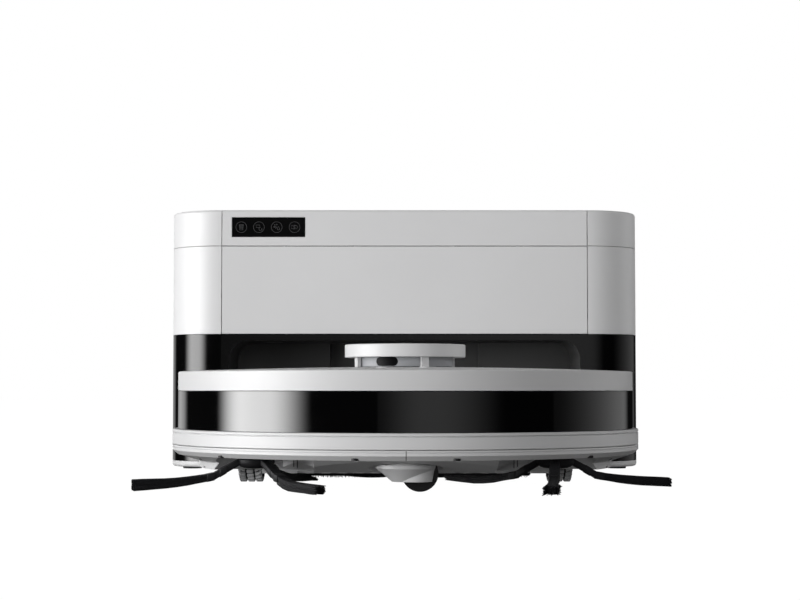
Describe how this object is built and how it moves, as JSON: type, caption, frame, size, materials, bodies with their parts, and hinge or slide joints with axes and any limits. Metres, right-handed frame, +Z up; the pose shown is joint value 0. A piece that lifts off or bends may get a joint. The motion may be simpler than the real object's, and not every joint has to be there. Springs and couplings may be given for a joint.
{
  "type": "robotic floor cleaner with base station",
  "caption": "Round robot vacuum and mop with a scanner turret and side brushes, standing in front of its low square base station with a hinged lid.",
  "frame": {"origin": "centre of the floor rectangle that the robot and its station cover, on the floor", "axes": "+Z up; the robot faces -Y and backs into the station along +Y; +X is the viewer's right seen from the front"},
  "size_m": [0.4122, 0.7251, 0.225],
  "materials": {
    "white_plastic": "satin injection-moulded shell, fine grain",
    "black_gloss": "polished piano black",
    "black_plastic": "matt black moulding",
    "grey_plastic": "matt grey moulding",
    "smoked_plastic": "smoked tank plastic",
    "button_plastic": "satin button cap",
    "display_glass": "black display window with pale line icons",
    "steel": "zinc-plated steel",
    "motor_metal": "drawn steel motor can",
    "contact_metal": "nickel-plated charging contact",
    "circuit_board": "solder-masked board",
    "battery_wrap": "shrink-wrapped cell pack",
    "brush_bristle": "black nylon bristles on a moulded hub",
    "wheel_rubber": "light grey chunky tread rubber",
    "caster_rubber": "hard black caster wheel",
    "foot_rubber": "black rubber foot",
    "filter_paper": "pleated filter paper",
    "bag_paper": "non-woven dust bag",
    "mop_fabric": "looped microfibre mop cloth"
  },
  "bodies": {
    "station": {"plinth": "white_plastic", "station_feet": "foot_rubber", "wash_tray": "grey_plastic", "lower_housing": "black_gloss", "inner_deck": "black_plastic", "upper_housing": "white_plastic", "rear_cap": "white_plastic", "hinge_pins": "steel", "water_tanks": "smoked_plastic", "dust_bag": "bag_paper", "dust_duct": "black_plastic", "fan_motor": "motor_metal", "water_pump": "grey_plastic", "control_board": "circuit_board", "station_contacts": "contact_metal", "power_inlet": "black_plastic"},
    "station_lid": {"lid": "white_plastic", "lid_front_strip": "white_plastic", "display_window": "display_glass"},
    "station_front": {"front_panel": "white_plastic"},
    "robot": {"lower_shell": "white_plastic", "robot_sensors": "black_plastic", "mid_frame": "grey_plastic", "frame_screws": "steel", "brush_housing": "black_plastic", "brush_guard": "white_plastic", "brush_motors": "motor_metal", "battery": "battery_wrap", "main_board": "circuit_board", "suction_fan": "grey_plastic", "robot_water_tank": "smoked_plastic", "mop_lift_motors": "grey_plastic", "robot_contacts": "contact_metal", "rear_wall": "black_gloss", "rear_trim": "white_plastic", "top_cover": "white_plastic", "lidar_base": "black_plastic", "lidar_cap": "white_plastic"},
    "bumper": {"bumper_lens": "black_gloss", "bumper_trim": "white_plastic"},
    "scanner": {"lidar_rotor": "grey_plastic", "lidar_windows": "black_gloss"},
    "roller": {"main_brush": "brush_bristle"},
    "left_side_brush": {"side_brush_left": "brush_bristle"},
    "right_side_brush": {"side_brush_right": "brush_bristle"},
    "left_arm": {"swing_arm_left": "grey_plastic"},
    "right_arm": {"swing_arm_right": "grey_plastic"},
    "left_wheel": {"wheel_left": "grey_plastic", "tyre_left": "wheel_rubber"},
    "right_wheel": {"wheel_right": "grey_plastic", "tyre_right": "wheel_rubber"},
    "caster": {"caster_fork": "white_plastic", "caster_axle": "steel"},
    "caster_roll": {"caster_wheel": "caster_rubber"},
    "bin": {"dust_bin": "smoked_plastic", "bin_filter": "filter_paper"},
    "mop": {"mop_plate": "grey_plastic", "mop_pad": "mop_fabric"},
    "power_key": {"power_button": "button_plastic"},
    "home_key": {"home_button": "button_plastic"}
  },
  "joints": [
    {"name": "dock_drive", "type": "slide", "parent": "station", "child": "robot", "axis": [0, -1, 0], "range_m": [-0.118, 0.3]},
    {"name": "lid_hinge", "type": "hinge", "parent": "station", "child": "station_lid", "pos_m": [0, 0.33675, 0.2208], "axis": [-1, 0, 0], "range_deg": [0, 75]},
    {"name": "front_panel_pull", "type": "slide", "parent": "station", "child": "station_front", "axis": [0, -1, 0], "range_m": [0, 0.08]},
    {"name": "bumper_press", "type": "slide", "parent": "robot", "child": "bumper", "axis": [0, 1, 0], "range_m": [0, 0.004], "stiffness_N_per_m": 250},
    {"name": "scanner_spin", "type": "hinge", "parent": "robot", "child": "scanner", "pos_m": [0, -0.13725, 0.09], "axis": [0, 0, 1], "continuous": true},
    {"name": "main_brush_spin", "type": "hinge", "parent": "robot", "child": "roller", "pos_m": [0, -0.19725, 0.0235], "axis": [1, 0, 0], "continuous": true},
    {"name": "left_brush_spin", "type": "hinge", "parent": "robot", "child": "left_side_brush", "pos_m": [-0.104, -0.27725, 0.012], "axis": [0, 0, 1], "continuous": true},
    {"name": "right_brush_spin", "type": "hinge", "parent": "robot", "child": "right_side_brush", "pos_m": [0.104, -0.27725, 0.012], "axis": [0, 0, -1], "continuous": true},
    {"name": "left_suspension", "type": "hinge", "parent": "robot", "child": "left_arm", "pos_m": [-0.102, -0.13725, 0.03], "axis": [-1, 0, 0], "range_deg": [0, 8], "stiffness_Nm_per_rad": 14},
    {"name": "right_suspension", "type": "hinge", "parent": "robot", "child": "right_arm", "pos_m": [0.102, -0.13725, 0.03], "axis": [-1, 0, 0], "range_deg": [0, 8], "stiffness_Nm_per_rad": 14},
    {"name": "left_wheel_roll", "type": "hinge", "parent": "left_arm", "child": "left_wheel", "pos_m": [-0.116, -0.17525, 0.03], "axis": [1, 0, 0], "continuous": true},
    {"name": "right_wheel_roll", "type": "hinge", "parent": "right_arm", "child": "right_wheel", "pos_m": [0.116, -0.17525, 0.03], "axis": [1, 0, 0], "continuous": true},
    {"name": "caster_swivel", "type": "hinge", "parent": "robot", "child": "caster", "pos_m": [0, -0.30825, 0.03], "axis": [0, 0, 1], "continuous": true},
    {"name": "caster_wheel_roll", "type": "hinge", "parent": "caster", "child": "caster_roll", "pos_m": [0.0095, -0.30825, 0.0125], "axis": [0, 1, 0], "continuous": true},
    {"name": "bin_pull", "type": "slide", "parent": "robot", "child": "bin", "axis": [0, 1, 0], "range_m": [0, 0.08]},
    {"name": "mop_lower", "type": "slide", "parent": "robot", "child": "mop", "axis": [0, 0, -1], "range_m": [0, 0.0078]},
    {"name": "power_press", "type": "slide", "parent": "robot", "child": "power_key", "axis": [0, 0, -1], "range_m": [0, 0.0008], "stiffness_N_per_m": 900},
    {"name": "home_press", "type": "slide", "parent": "robot", "child": "home_key", "axis": [0, 0, -1], "range_m": [0, 0.0008], "stiffness_N_per_m": 900}
  ],
  "couplings": [
    {"joint": "left_wheel_roll", "follows": "dock_drive", "rad_per_m": 33.333},
    {"joint": "right_wheel_roll", "follows": "dock_drive", "rad_per_m": 33.333}
  ]
}
